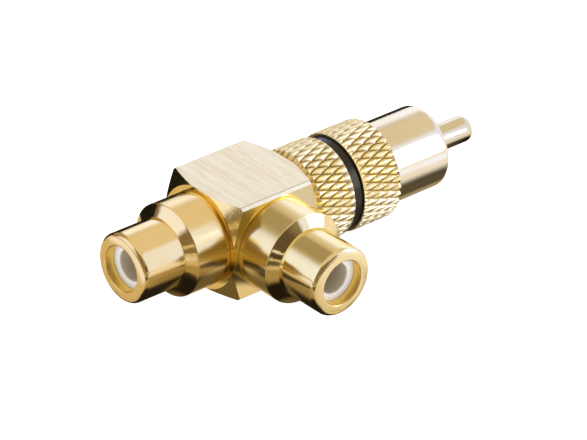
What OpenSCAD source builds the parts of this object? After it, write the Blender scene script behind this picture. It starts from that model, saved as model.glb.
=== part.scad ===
// RCA splitter adapter: one plug that feeds two jacks.
// A block cut from square bar joins a plug and a jack on one axis, and holds a
// second jack square to them. The origin is the centre of the block's underside,
// +X points along the main axis to the plug, and the side jack points to -Y.

/* [Body block] */
// Width of the square bar across its flats
bar_w = 12; // [11.6:0.1:13]
// Length of the block along the main axis
block_l = 12.3; // [12:0.1:14]
// Bevel along the four long edges of the bar
bar_bevel = 0.35; // [0.1:0.05:0.6]
// How far each turned end face reaches past the flats
end_land = 0.15; // [0.05:0.05:0.4]
// Slope of the turned end chamfers, measured from the end face
end_slope = 28; // [15:1:35]
// Diameter of the three seats that take the shells' spigots
seat_d = 8; // [7.8:0.1:8.2]
// Depth of each seat
seat_depth = 2; // [1.9:0.05:2.1]
// Bore drilled right through the block along the main axis
main_bore_d = 7; // [6.6:0.1:7.4]
// Bore drilled in from the side until it meets the main bore
side_bore_d = 6.6; // [6:0.1:6.8]

/* [Jack shells] */
// Diameter of the thick base
base_d = 11; // [10:0.1:11.4]
// Length of the thick base
base_l = 4.6; // [3:0.1:7]
// Length of the cone between the base and the tube
cone_l = 0.8; // [0.3:0.1:1.5]
// Outside diameter of the tube, which a plug's barrel slides over
tube_d = 8.3; // [8.1:0.05:8.35]
// Straight length of the tube
tube_l = 5.9; // [5:0.1:8]
// Chamfer round the front of the tube
tube_chamfer = 0.3; // [0.1:0.05:0.5]
// Diameter of the mouth
mouth_d = 5.45; // [4.4:0.05:5.9]
// Depth of the mouth, in front of the insulator
mouth_l = 1.3; // [0.6:0.1:1.8]
// Small chamfer on the edge of the mouth
mouth_chamfer = 0.12; // [0.05:0.01:0.25]
// Diameter of the pocket that holds the insulator
pocket_d = 6.3; // [6.1:0.1:6.6]
// Length of the spigots that hold the shells in the block
spigot_l = 1.9; // [1.5:0.1:1.9]
// Thickness of the lip that is rolled in behind the insulator
roll_t = 0.3; // [0.2:0.05:0.5]
// How far the rolled lip reaches inwards
roll_in = 0.35; // [0.2:0.05:0.45]

/* [Jack insulators] */
// Hole in the front web, which guides a plug's pin
web_hole_d = 3.7; // [3.5:0.05:3.8]
// Thickness of the front web
web_t = 2.6; // [2:0.1:3]
// Lead-in chamfer on the web's hole
web_lead = 0.25; // [0.05:0.05:0.3]

/* [Jack contacts] */
// Bore of the sprung socket
socket_d = 3.24; // [3.22:0.01:3.28]
// Outside diameter of the sprung socket
contact_d = 4.5; // [4.2:0.1:4.8]
// How far the socket's bore reaches back past the front of the collar
socket_back = 0.8; // [0.4:0.1:0.9]
// Number of slots, which leave as many sprung fingers
slot_count = 4; // [3:1:5]
// Width of each slot
slot_w = 0.35; // [0.2:0.05:0.4]
// Length of each slot
slot_l = 5.5; // [4:0.1:6]
// Lead-in chamfer inside the fingers' tips
socket_lead = 0.2; // [0.1:0.05:0.3]
// Diameter of the collar that seats in the back of the insulator
collar_d = 5.3; // [5.1:0.1:5.5]
// Thickness of the collar
collar_t = 0.6; // [0.4:0.1:0.9]
// Diameter of the contact behind its collar, round the bottom of the socket
back_d = 4.3; // [4.1:0.1:4.8]
// Length of that part
back_l = 1.6; // [1.5:0.1:1.8]
// Diameter of the contact's tail
tail_d = 3.2; // [3:0.1:3.8]
// Length of the inline contact's tail behind its collar
inline_tail_l = 3.5; // [3.4:0.1:3.7]
// Depth of the blind hole in the inline contact's tail
inline_hole_l = 1.8; // [1.4:0.1:1.9]
// How far the side contact's tail runs past the main axis
side_tail_past = 1.7; // [1.5:0.1:2]

/* [Plug shell] */
// Length of the neck between the block and the grip
neck_l = 0.65; // [0.4:0.05:1]
// Diameter of the neck
neck_d = 10; // [9.6:0.1:10.4]
// Diameter over the knurl's crests
grip_d = 12; // [11.8:0.1:12]
// Length of the grip
grip_l = 12.3; // [11.4:0.1:15]
// Outside diameter of the barrel
barrel_d = 9.9; // [9.7:0.1:10.3]
// Length of the barrel in front of the grip
barrel_l = 8.45; // [7.5:0.05:10]
// Rounding of the barrel's outer front edge
barrel_round = 0.5; // [0.1:0.05:0.5]
// Bore of the barrel, which takes the tube of a mating jack
barrel_bore_d = 8.4; // [8.4:0.05:8.6]
// Depth of the barrel's bore in front of the insulator
barrel_depth = 7.9; // [6.5:0.1:8.5]
// Chamfer on the edge of the barrel's bore
barrel_chamfer = 0.15; // [0.05:0.05:0.2]

/* [Knurl] */
// Number of diamonds round the grip
knurl_count = 37; // [30:1:50]
// Number of half diamonds along the grip
knurl_rows = 8; // [6:1:10]
// Depth of the grooves between the diamonds
knurl_depth = 0.28; // [0.15:0.01:0.35]
// Share of each diamond's length and width that its flat top keeps
knurl_flat = 0.28; // [0.1:0.01:0.5]
// Length and height of the smooth bevel where the grip starts
start_bevel = 0.45; // [0.3:0.05:0.6]
// Length of the bevel at the grip's other end
end_bevel = 0.15; // [0.1:0.05:0.4]

/* [Colour ring] */
// Distance from the start of the grip to the ring's groove
groove_start = 5.3; // [3:0.05:7]
// Width of the groove
groove_w = 1.4; // [1:0.05:2]
// Diameter at the bottom of the groove
groove_d = 10.4; // [9.8:0.1:10.8]
// Outside diameter of the ring
ring_d = 11.2; // [11:0.1:12]
// Bevel on the ring's outer edges
ring_bevel = 0.1; // [0.05:0.05:0.2]

/* [Plug insulator] */
// Thickness of the head, which fills the bottom of the barrel
head_t = 3; // [2:0.1:4]
// Length of the shank behind the head
shank_l = 7; // [4:0.1:8]

/* [Plug pin] */
// Diameter of the pin
pin_d = 3.2; // [3.16:0.01:3.2]
// How far the pin stands out of the barrel
pin_reach = 6.9; // [5:0.1:8]
// Rounding of the pin's tip
pin_round = 0.7; // [0.3:0.05:0.8]
// Diameter of the stem inside the insulator
stem_d = 2.4; // [2.2:0.1:2.8]
// Diameter of the core that crosses the block to the jacks
core_d = 2; // [1.8:0.1:2.1]
// How far the core stops short of the bottom of the inline contact's hole
core_short = 0.2; // [0.1:0.05:0.4]

/* [Fits] */
// Gap on the radius between pieces that are pressed into each other
press_gap = 0.02; // [0.01:0.01:0.03]
// Gap on the radius where the core passes through the contacts' tails
core_gap = 0.03; // [0.01:0.01:0.05]
// Gap on each side of the colour ring in its groove
ring_gap = 0.05; // [0.02:0.01:0.1]
// Gap between the sprung socket and the insulator's web
web_gap = 0.1; // [0.05:0.05:0.2]

/* [Hidden] */

gold = [0.85, 0.70, 0.40];
brushed_gold = [0.90, 0.83, 0.68];
white = [0.94, 0.94, 0.93];
black = [0.06, 0.06, 0.07];

$fn = 96;
// How far a cutting shape runs past what it cuts
over = 1;
// Slope of the cone that a drill leaves at the bottom of a hole
drill_slope = 31;

// Heights from here on are measured along each piece's own axis, outwards from
// the face of the block that the piece is pressed into
axis_z = bar_w / 2;
end_r = bar_w / 2 + end_land;
spigot_r = seat_d / 2 - press_gap;
core_hole_r = core_d / 2 + core_gap;

jack_l = base_l + cone_l + tube_l;
lip_z = jack_l - mouth_l;
web_back = lip_z - web_t;
contact_front = web_back - web_gap;
pocket_back = roll_t - spigot_l;
insulator_r = pocket_d / 2 - press_gap;
inline_tail_end = -collar_t - inline_tail_l;
side_tail_end = -bar_w / 2 - side_tail_past;

grip_end = neck_l + grip_l;
plug_l = grip_end + barrel_l;
groove_z = neck_l + groove_start;
head_front = plug_l - barrel_depth;
head_back = head_front - head_t;
shank_back = head_back - shank_l;
// Where the core ends inside the inline contact's tail, measured on the plug's axis
core_end = core_short - inline_hole_l - inline_tail_end - block_l;

// Places a shape built along +Z on the block's face below the plug
module on_plug_face() {
    translate([block_l / 2, 0, axis_z])
        rotate([0, 90, 0])
            children();
}

// Places a shape built along +Z on the face of the inline jack
module on_inline_face() {
    translate([-block_l / 2, 0, axis_z])
        rotate([0, -90, 0])
            children();
}

// Places a shape built along +Z on the face of the side jack
module on_side_face() {
    translate([0, -bar_w / 2, axis_z])
        rotate([90, 0, 0])
            children();
}

// Quarter round for a turned profile
function arc(centre, r, from, to, steps = 8) =
    [for (i = [0:steps])
        let (a = from + (to - from) * i / steps)
        centre + r * [cos(a), sin(a)]];

// Square bar with its long edges bevelled, standing on its end
module bevelled_bar() {
    h = bar_w / 2;
    k = h - bar_bevel;
    linear_extrude(block_l, center = true)
        polygon([[h, -k], [h, k], [k, h], [-k, h], [-h, k], [-h, -k], [-k, -h], [k, -h]]);
}

// Turned outline that leaves a flat disc and a cone on both ends of the bar
module end_turning() {
    h = block_l / 2;
    corner_r = bar_w;
    drop = (corner_r - end_r) * tan(end_slope);
    rotate_extrude()
        polygon([[0, -h], [end_r, -h], [corner_r, drop - h], [corner_r, h - drop], [end_r, h], [0, h]]);
}

// Seat for a spigot, cut into a face
module spigot_seat() {
    translate([0, 0, -seat_depth])
        cylinder(d = seat_d, h = seat_depth + over);
}

module body_block() {
    color(brushed_gold)
        difference() {
            translate([0, 0, axis_z])
                rotate([0, 90, 0])
                    intersection() {
                        bevelled_bar();
                        end_turning();
                    }
            on_plug_face()
                translate([0, 0, -block_l - over])
                    cylinder(d = main_bore_d, h = block_l + 2 * over);
            on_side_face()
                translate([0, 0, -bar_w / 2])
                    cylinder(d = side_bore_d, h = bar_w / 2 + over);
            on_plug_face()
                spigot_seat();
            on_inline_face()
                spigot_seat();
            on_side_face()
                spigot_seat();
        }
}

// One turned shell: spigot, thick base, cone, and the tube with its mouth.
// The insulator goes in from the back, up to the mouth's lip, and the spigot's
// end is rolled in behind it.
module jack_shell() {
    base_r = base_d / 2;
    tube_r = tube_d / 2;
    mouth_r = mouth_d / 2;
    pocket_r = pocket_d / 2;
    rotate_extrude()
        polygon([
            [pocket_r - roll_in, -spigot_l],
            [spigot_r, -spigot_l],
            [spigot_r, 0],
            [base_r, 0],
            [base_r, base_l],
            [tube_r, base_l + cone_l],
            [tube_r, jack_l - tube_chamfer],
            [tube_r - tube_chamfer, jack_l],
            [mouth_r + mouth_chamfer, jack_l],
            [mouth_r, jack_l - mouth_chamfer],
            [mouth_r, lip_z],
            [pocket_r, lip_z],
            [pocket_r, pocket_back],
            [pocket_r - roll_in, pocket_back]
        ]);
}

module inline_jack_shell() {
    color(gold)
        on_inline_face()
            jack_shell();
}

module side_jack_shell() {
    color(gold)
        on_side_face()
            jack_shell();
}

// White bush between a jack's shell and its contact
module jack_insulator() {
    hole_r = web_hole_d / 2;
    contact_r = contact_d / 2 + press_gap;
    collar_r = collar_d / 2 + press_gap;
    rotate_extrude()
        polygon([
            [hole_r + web_lead, lip_z],
            [insulator_r, lip_z],
            [insulator_r, pocket_back],
            [collar_r, pocket_back],
            [collar_r, 0],
            [contact_r, 0],
            [contact_r, web_back],
            [hole_r, web_back],
            [hole_r, lip_z - web_lead]
        ]);
}

module inline_insulator() {
    color(white)
        on_inline_face()
            jack_insulator();
}

module side_insulator() {
    color(white)
        on_side_face()
            jack_insulator();
}

// Turned contact: a slotted socket that springs on the mating pin, a collar
// that seats in the insulator, and a tail that reaches into the block. The
// socket is as deep as a plug's pin is long, so its bottom lies behind the collar.
module jack_contact(tail_end) {
    socket_r = socket_d / 2;
    difference() {
        rotate_extrude()
            polygon([
                [0, tail_end],
                [tail_d / 2, tail_end],
                [tail_d / 2, -collar_t - back_l],
                [back_d / 2, -collar_t - back_l],
                [back_d / 2, -collar_t],
                [collar_d / 2, -collar_t],
                [collar_d / 2, 0],
                [contact_d / 2, 0],
                [contact_d / 2, contact_front],
                [socket_r + socket_lead, contact_front],
                [socket_r, contact_front - socket_lead],
                [socket_r, -socket_back],
                [0, -socket_back - socket_r * tan(drill_slope)]
            ]);
        for (i = [0:slot_count - 1])
            rotate([0, 0, 360 * (i + 0.5) / slot_count])
                translate([0, -slot_w / 2, contact_front - slot_l])
                    cube([contact_d / 2 + over, slot_w, slot_l + over]);
    }
}

module inline_contact() {
    color(gold)
        on_inline_face()
            difference() {
                jack_contact(inline_tail_end);
                translate([0, 0, inline_tail_end - over])
                    cylinder(r = core_hole_r, h = inline_hole_l + over);
            }
}

module side_contact() {
    color(gold)
        on_side_face()
            difference() {
                jack_contact(side_tail_end);
                translate([0, 0, -bar_w / 2])
                    rotate([0, 90, 0])
                        cylinder(r = core_hole_r, h = tail_d + 2 * over, center = true);
            }
}

// The knurl is a lattice of diamonds. Its rows lie across the grip, half a
// diamond apart. Along a row, crests and the crossings of the grooves take turns,
// and the next row has them the other way round.
stations = 2 * knurl_count;
row_h = (grip_l - start_bevel - end_bevel) / knurl_rows;
crest_r = grip_d / 2;
groove_r = crest_r - knurl_depth;

// Corners of a crest's flat top: right, upper, left and lower
flat_turn = knurl_flat * [1, 0, -1, 0];
flat_rise = knurl_flat * [0, 1, 0, -1];

function on_grip(r, station, row) =
    let (a = 360 * station / stations)
    [r * cos(a), r * sin(a), neck_l + start_bevel + row * row_h];

function on_end(r, z) =
    [for (s = [0:stations - 1])
        let (a = 360 * s / stations)
        [r * cos(a), r * sin(a), z]];

knurl_points = concat(
    [for (row = [0:knurl_rows], i = [0:knurl_count - 1])
        on_grip(groove_r, 2 * i + 1 + row % 2, row)],
    [for (row = [0:knurl_rows], i = [0:knurl_count - 1], q = [0:3])
        on_grip(crest_r, 2 * i + row % 2 + flat_turn[q], row + flat_rise[q])],
    on_end(crest_r - start_bevel, neck_l),
    on_end(groove_r, grip_end)
);

// Numbers of the points in that list
function wrap(i) = (i + knurl_count) % knurl_count;
function crossing(row, i) = row * knurl_count + wrap(i);
function corner(row, i, q) = (knurl_rows + 1) * knurl_count + 4 * crossing(row, i) + q % 4;
function rim(end, s) = (5 * (knurl_rows + 1) + 2 * end) * knurl_count + (s + stations) % stations;

// Crossings round crest i of a row: right, upper, left and lower
function around(row, i) =
    let (beside = i - 1 + row % 2)
    [
        crossing(row, i),
        crossing(row + 1, beside),
        crossing(row, i - 1),
        crossing(row - 1, beside)
    ];

// One flank of a diamond, from corner q of its flat top to the next
function flank(row, i, q) =
    let (c = around(row, i))
    [
        [corner(row, i, q), c[q], c[(q + 1) % 4]],
        [corner(row, i, q), c[(q + 1) % 4], corner(row, i, q + 1)]
    ];

// Flat top of a diamond, cut in half in the first and the last row
function flat_top(row, i) =
    row == 0 ? [[corner(row, i, 2), corner(row, i, 0), corner(row, i, 1)]] :
    row == knurl_rows ? [[corner(row, i, 2), corner(row, i, 3), corner(row, i, 0)]] :
    [[for (q = [0:3]) corner(row, i, q)]];

function diamond(row, i) = concat(
    flat_top(row, i),
    row < knurl_rows ? concat(flank(row, i, 0), flank(row, i, 1)) : [],
    row > 0 ? concat(flank(row, i, 2), flank(row, i, 3)) : []
);

// Bevel between the first row and the end of the grip, below crest i
function first_bevel(i) =
    let (s = 2 * i, c = around(0, i))
    [
        [rim(0, s - 1), rim(0, s), corner(0, i, 2), c[2]],
        [rim(0, s), corner(0, i, 0), corner(0, i, 2)],
        [rim(0, s), rim(0, s + 1), c[0], corner(0, i, 0)]
    ];

// Bevel between the last row and the other end
function last_bevel(i) =
    let (row = knurl_rows, s = 2 * i + row % 2, c = around(row, i))
    [
        [c[2], corner(row, i, 2), rim(1, s), rim(1, s - 1)],
        [corner(row, i, 2), corner(row, i, 0), rim(1, s)],
        [corner(row, i, 0), c[0], rim(1, s + 1), rim(1, s)]
    ];

// Faces as seen from outside, counter-clockwise
knurl_faces = concat(
    [for (row = [0:knurl_rows], i = [0:knurl_count - 1]) each diamond(row, i)],
    [for (i = [0:knurl_count - 1]) each first_bevel(i)],
    [for (i = [0:knurl_count - 1]) each last_bevel(i)],
    [[for (s = [stations - 1:-1:0]) rim(0, s)]],
    [[for (s = [0:stations - 1]) rim(1, s)]]
);

function reversed(face) = [for (k = [len(face) - 1:-1:0]) face[k]];

module knurled_bar() {
    polyhedron(knurl_points, [for (face = knurl_faces) reversed(face)]);
}

// Spigot, neck and barrel of the plug's shell, solid inside
module plug_core() {
    barrel_r = barrel_d / 2;
    inside_grip = neck_l + grip_l / 2;
    rotate_extrude()
        polygon(concat(
            [
                [0, -spigot_l],
                [spigot_r, -spigot_l],
                [spigot_r, 0],
                [neck_d / 2, 0],
                [neck_d / 2, inside_grip],
                [barrel_r, inside_grip]
            ],
            arc([barrel_r - barrel_round, plug_l - barrel_round], barrel_round, 0, 90),
            [[0, plug_l]]
        ));
}

// Room inside the plug's shell: the shank's bore, and the barrel's wider one
module plug_bore() {
    shank_r = pocket_d / 2;
    bore_r = barrel_bore_d / 2;
    rotate_extrude()
        polygon([
            [0, -spigot_l - over],
            [shank_r, -spigot_l - over],
            [shank_r, head_back],
            [bore_r, head_back],
            [bore_r, plug_l - barrel_chamfer],
            [bore_r + barrel_chamfer + over, plug_l + over],
            [0, plug_l + over]
        ]);
}

module plug_shell() {
    color(gold)
        on_plug_face()
            difference() {
                union() {
                    plug_core();
                    knurled_bar();
                }
                plug_bore();
                translate([0, 0, groove_z])
                    difference() {
                        cylinder(r = crest_r + over, h = groove_w);
                        translate([0, 0, -over])
                            cylinder(d = groove_d, h = groove_w + 2 * over);
                    }
            }
}

module colour_ring() {
    inner_r = groove_d / 2 + press_gap;
    outer_r = ring_d / 2;
    z0 = groove_z + ring_gap;
    z1 = groove_z + groove_w - ring_gap;
    color(black)
        on_plug_face()
            rotate_extrude()
                polygon([
                    [inner_r, z0],
                    [outer_r - ring_bevel, z0],
                    [outer_r, z0 + ring_bevel],
                    [outer_r, z1 - ring_bevel],
                    [outer_r - ring_bevel, z1],
                    [inner_r, z1]
                ]);
}

module plug_insulator() {
    stem_r = stem_d / 2 + press_gap;
    head_r = barrel_bore_d / 2 - press_gap;
    color(white)
        on_plug_face()
            rotate_extrude()
                polygon([
                    [stem_r, shank_back],
                    [insulator_r, shank_back],
                    [insulator_r, head_back],
                    [head_r, head_back],
                    [head_r, head_front],
                    [stem_r, head_front]
                ]);
}

// One turned piece: the pin, the stem that the insulator holds, and the core
// that runs through the side contact's eye into the inline contact's tail
module plug_pin() {
    pin_r = pin_d / 2;
    tip = plug_l + pin_reach;
    color(gold)
        on_plug_face()
            rotate_extrude()
                polygon(concat(
                    [
                        [0, core_end],
                        [core_d / 2, core_end],
                        [core_d / 2, shank_back],
                        [stem_d / 2, shank_back],
                        [stem_d / 2, head_front],
                        [pin_r, head_front]
                    ],
                    arc([pin_r - pin_round, tip - pin_round], pin_round, 0, 90),
                    [[0, tip]]
                ));
}

body_block();
inline_jack_shell();
side_jack_shell();
inline_insulator();
side_insulator();
inline_contact();
side_contact();
plug_shell();
colour_ring();
plug_insulator();
plug_pin();
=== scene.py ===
# %% [markdown]
# # A gold-plated phono splitter on a white table
#
# One plug feeds two jacks. The adapter is turned and sawn from brass bar, then gold plated:
# a brushed square block in the middle, a knurled plug behind it, one jack in line with the
# plug and one square to it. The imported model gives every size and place, so this script
# only refines what shows: rounded edges, a crisp knurl, and the finish of each surface.

import math

import bmesh
import bpy
from mathutils import Matrix, Vector


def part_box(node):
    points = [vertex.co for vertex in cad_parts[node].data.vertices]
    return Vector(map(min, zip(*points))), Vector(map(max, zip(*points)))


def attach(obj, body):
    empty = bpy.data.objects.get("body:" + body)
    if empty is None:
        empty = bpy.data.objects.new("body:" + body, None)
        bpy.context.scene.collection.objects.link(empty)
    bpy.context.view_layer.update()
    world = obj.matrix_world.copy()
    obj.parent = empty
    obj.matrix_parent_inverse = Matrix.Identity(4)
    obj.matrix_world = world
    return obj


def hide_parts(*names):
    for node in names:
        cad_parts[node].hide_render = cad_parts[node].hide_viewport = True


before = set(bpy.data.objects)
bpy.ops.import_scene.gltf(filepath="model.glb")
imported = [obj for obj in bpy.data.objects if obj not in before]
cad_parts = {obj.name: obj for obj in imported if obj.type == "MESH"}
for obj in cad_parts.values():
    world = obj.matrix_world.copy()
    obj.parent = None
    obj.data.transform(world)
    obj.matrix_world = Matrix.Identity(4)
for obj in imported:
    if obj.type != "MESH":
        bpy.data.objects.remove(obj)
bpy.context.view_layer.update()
MM = 0.001
print("CAD nodes:", ", ".join(sorted(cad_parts)))

# %% [markdown]
# Each turned piece is drawn along its own axis, outwards from the face of the block that it
# is pressed into. Three matrices then carry such a piece to the plug's face, the inline
# jack's face and the side jack's face. They come from the block's own box.

# %% The three faces of the block
block_low, block_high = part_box("body_block")
AXIS_Z = (block_low.z + block_high.z) / 2
BAR_W = (block_high.z - block_low.z) / MM
BLOCK_L = (block_high.x - block_low.x) / MM


def on_face(x, y, turn, about):
    return Matrix.Translation((x, y, AXIS_Z)) @ Matrix.Rotation(turn, 4, about)


ON_PLUG = on_face(block_high.x, 0, math.pi / 2, "Y")
ON_INLINE = on_face(block_low.x, 0, -math.pi / 2, "Y")
ON_SIDE = on_face(0, block_low.y, math.pi / 2, "X")
print(f"axis {AXIS_Z / MM:.2f} mm up, block {BLOCK_L:.2f} x {BAR_W:.2f} mm")

# %% [markdown]
# ## The camera
#
# The picture was taken with a long lens from the front left, a little above the adapter.
# The angles, the distance and the scale come from fitting the known sizes to the picture.
# The camera is then moved sideways until the point where the two axes cross falls on its
# own pixel.

# %% Camera
IMAGE_W, IMAGE_H = 587, 440
CAM_AZIMUTH = math.radians(-42.23)
CAM_ELEVATION = math.radians(30.797)
CAM_ROLL = math.radians(2.272)
CAM_DISTANCE = 0.554918
PIXELS_PER_METRE = 8881.93
CROSSING_U, CROSSING_V = 240.78, 219.80
SENSOR_W = 36
NEAREST = 10 * MM

back = Vector((
    math.sin(CAM_AZIMUTH) * math.cos(CAM_ELEVATION),
    -math.cos(CAM_AZIMUTH) * math.cos(CAM_ELEVATION),
    math.sin(CAM_ELEVATION),
))
level = (-back).cross(Vector((0, 0, 1))).normalized()
above = level.cross(-back)
cam_right = math.cos(CAM_ROLL) * level + math.sin(CAM_ROLL) * above
cam_up = math.cos(CAM_ROLL) * above - math.sin(CAM_ROLL) * level
aim = Vector((0, 0, AXIS_Z))
aim -= cam_right * (CROSSING_U - IMAGE_W / 2) / PIXELS_PER_METRE
aim -= cam_up * (IMAGE_H / 2 - CROSSING_V) / PIXELS_PER_METRE

camera = bpy.data.objects.new("camera", bpy.data.cameras.new("camera"))
bpy.context.scene.collection.objects.link(camera)
camera.data.sensor_width = SENSOR_W
camera.data.lens = SENSOR_W * PIXELS_PER_METRE * CAM_DISTANCE / IMAGE_W
camera.data.clip_start = NEAREST
camera.matrix_world = Matrix.Translation(aim + back * CAM_DISTANCE) @ Matrix(
    (cam_right, cam_up, back)
).transposed().to_4x4()
bpy.context.scene.camera = camera
print(f"lens {camera.data.lens:.1f} mm, {CAM_DISTANCE / MM:.0f} mm away")

# %% [markdown]
# ## Writing finishes as sums
#
# A finish is a net of nodes, and most of its nodes are arithmetic. `Value` wraps a socket
# so that `1 - worn * 0.3` builds those nodes by itself.

# %% A socket that can stand in a sum
class Value:
    """The output of a node. A sum of such values adds Math nodes."""

    def __init__(self, finish, made, socket):
        self.finish, self.made, self.socket = finish, made, socket

    def __getitem__(self, name):
        return Value(self.finish, self.made, self.made.outputs[name])

    def math(self, operation, *others):
        terms = dict(enumerate((self,) + others))
        return self.finish.node("Math", {"operation": operation}, terms)

    def __add__(self, other):
        return self.math("ADD", other)

    def __radd__(self, other):
        return self.math("ADD", other)

    def __sub__(self, other):
        return self.math("SUBTRACT", other)

    def __rsub__(self, other):
        return (self * -1).math("ADD", other)

    def __mul__(self, other):
        return self.math("MULTIPLY", other)

    def __rmul__(self, other):
        return self.math("MULTIPLY", other)

    def __truediv__(self, other):
        return self.math("DIVIDE", other)

    def __abs__(self):
        return self.math("ABSOLUTE")


print("sums can be written")

# %% [markdown]
# Every other node comes from `Finish.node`, which takes the node's type, its settings and
# what goes into its sockets. The methods after it are short names for the nodes that nearly
# every finish needs: a soft step, a mix of two colours, a noise, a bump.

# %% The nodes of a finish
class Finish:
    """The nodes of one material, or of the studio's light."""

    def __init__(self, tree):
        tree.nodes.clear()
        self.tree = tree

    def node(self, kind, settings=None, sockets=None):
        made = self.tree.nodes.new("ShaderNode" + kind)
        for name, setting in (settings or {}).items():
            setattr(made, name, setting)
        for key, value in (sockets or {}).items():
            socket = self.find(made, key)
            if isinstance(value, Value):
                self.tree.links.new(value.socket, socket)
            else:
                socket.default_value = value
        shown = [s for s in made.outputs if s.enabled]
        return Value(self, made, shown[0] if shown else None)

    def find(self, made, key):
        if isinstance(key, int):
            return made.inputs[key]
        return next(s for s in made.inputs if s.enabled and s.name == key)

    def here(self):
        """The point that is being shaded, in metres."""
        return self.node("TexCoord")["Object"]

    def between(self, low, high, value):
        """0 up to low, 1 from high on, and a soft rise between them."""
        return self.node(
            "MapRange",
            {"interpolation_type": "SMOOTHSTEP"},
            {"Value": value, "From Min": low, "From Max": high},
        )

    def blend(self, mask, first, second):
        """The first colour where the mask is 0, the second where it is 1."""
        return self.node(
            "Mix", {"data_type": "RGBA"}, {"Factor": mask, "A": first, "B": second}
        )

    def noise(self, where, scale, detail=2.0, **settings):
        settings = {"noise_dimensions": "3D", **settings}
        key = "W" if settings["noise_dimensions"] == "1D" else "Vector"
        return self.node(
            "TexNoise", settings, {key: where, "Scale": scale, "Detail": detail}
        )["Fac"]

    def bump(self, strength, depth, height):
        """Tilts the light as if the surface rose by height times depth, in mm."""
        return self.node(
            "Bump", {}, {"Strength": strength, "Distance": depth * MM, "Height": height}
        )

    def glow(self, colour, strength=1.0):
        return self.node("Emission", {}, {"Color": colour, "Strength": strength})

    def show(self, shader, output="OutputMaterial"):
        self.node(output, {}, {"Surface": shader})


def new_finish(name):
    material = bpy.data.materials.new(name)
    material.use_nodes = True
    return material, Finish(material.node_tree)


def rgb(red, green, blue):
    return (red, green, blue, 1.0)


print("finishes can be mixed")

# %% [markdown]
# ## The studio
#
# Polished gold has hardly a colour of its own: it shows what stands round it, so the light
# is built as cards in a ring. `CARDS` lists them by compass angle (0 in front of the side
# jack, 90 past the plug's pin) and by height, in degrees. There is a large wall of light to
# the right, a smaller one to the left, dark between them in front, and a grey ceiling.
#
# Gold swallows blue. Where it looks nearly white in the picture, the wall that it mirrors
# needs extra blue to make up for that.

# %% Cards round the adapter
CEILING, LOW_FRONT = rgb(0.80, 0.70, 0.75), rgb(0.22, 0.16, 0.12)
CEILING_FROM, CEILING_FULL = 12, 48
FRONT_DARK = rgb(0.24, 0.18, 0.12)
NO_BOTTOM = -90
CARDS = [
    # name, middle, half width, soft side, bottom, top, soft top, colour
    ("dark over the front left", -48, 42, 14, NO_BOTTOM, 50, 14, FRONT_DARK),
    ("left wall", -120, 24, 8, NO_BOTTOM, 40, 14, rgb(0.98, 1.05, 1.94)),
    ("right wall, back part", 110, 37, 5, NO_BOTTOM, 34, 18, rgb(1.10, 1.16, 2.15)),
    ("right wall", 69, 43, 7, NO_BOTTOM, 45, 6, rgb(0.90, 0.98, 1.83)),
    ("dark gap in front", 2, 21, 8, NO_BOTTOM, 19, 6, rgb(0.12, 0.086, 0.062)),
    ("shade over the back", 186, 30, 24, 20, 62, 26, rgb(0.40, 0.32, 0.27)),
    ("dark back", 176, 31, 4, NO_BOTTOM, 2, 5, rgb(0.015, 0.011, 0.01)),
]
print(len(CARDS), "cards:", ", ".join(card[0] for card in CARDS))

# %% [markdown]
# The cards become the world's light. The direction of a ray gives its compass angle and its
# height, and each card is a soft mask that lays its colour over what was there. Only shiny
# surfaces see the cards. The camera sees a white backdrop, and matt surfaces get even light
# from all sides, as from a light tent.

# %% The world's light
WHITE_BACKDROP = rgb(1.0, 1.0, 1.0)
SOFT_FILL = rgb(1.0, 1.0, 1.0)
DEGREES = 180 / math.pi

world = bpy.data.worlds.new("studio")
world.use_nodes = True
bpy.context.scene.world = world
light = Finish(world.node_tree)
toward = light.node("SeparateXYZ", {}, {0: light.node("TexCoord")["Generated"]})
compass = toward["X"].math("ARCTAN2", toward["Y"] * -1) * DEGREES
height = toward["Z"].math("ARCSINE") * DEGREES
around = light.blend(light.between(CEILING_FROM, CEILING_FULL, height), LOW_FRONT, CEILING)
for _, middle, half, side, bottom, top, rim, colour in CARDS:
    off = abs((compass - middle).math("WRAP", 180, -180))
    mask = 1 - light.between(half - side / 2, half + side / 2, off)
    mask = mask * (1 - light.between(top - rim / 2, top + rim / 2, height))
    if bottom > NO_BOTTOM:
        mask = mask * light.between(bottom - rim / 2, bottom + rim / 2, height)
    around = light.blend(mask, around, colour)
ray = light.node("LightPath")
around = light.blend(ray["Is Camera Ray"], around, WHITE_BACKDROP)
around = light.blend(ray["Is Diffuse Ray"], around, SOFT_FILL)
light.show(light.node("Background", {}, {"Color": around}), "OutputWorld")

bpy.context.scene.view_settings.view_transform = "Standard"
bpy.context.scene.view_settings.look = "None"
print("the world's light has", len(world.node_tree.nodes), "nodes")

# %% [markdown]
# ## The table
#
# The adapter lies on a white table. Gold shows a table from so near that its reflection
# needs tones of its own, so two discs lie almost in one plane. The camera and matt surfaces
# see the first one, which glows enough that hardly a shadow shows on it, as in the picture.

# %% The table that the camera sees
TABLE_R, TABLE_SIDES = 3.0, 96
SEEN_Z, MIRRORED_Z = -0.02 * MM, -0.04 * MM
TABLE_PAINT, TABLE_GLOW = rgb(0.8, 0.8, 0.8), 0.86


def stage_piece(name, bm, material, seen_by):
    """A piece of the studio that only the named kinds of ray can see."""
    mesh = bpy.data.meshes.new(name)
    bm.to_mesh(mesh)
    bm.free()
    piece = bpy.data.objects.new(name, mesh)
    bpy.context.scene.collection.objects.link(piece)
    mesh.materials.append(material)
    for kind in ("camera", "glossy", "diffuse", "transmission", "shadow"):
        setattr(piece, "visible_" + kind, kind in seen_by)


def disc(z):
    bm = bmesh.new()
    bmesh.ops.create_circle(bm, cap_ends=True, segments=TABLE_SIDES, radius=TABLE_R)
    bmesh.ops.translate(bm, verts=bm.verts, vec=(0, 0, z))
    return bm


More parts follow.
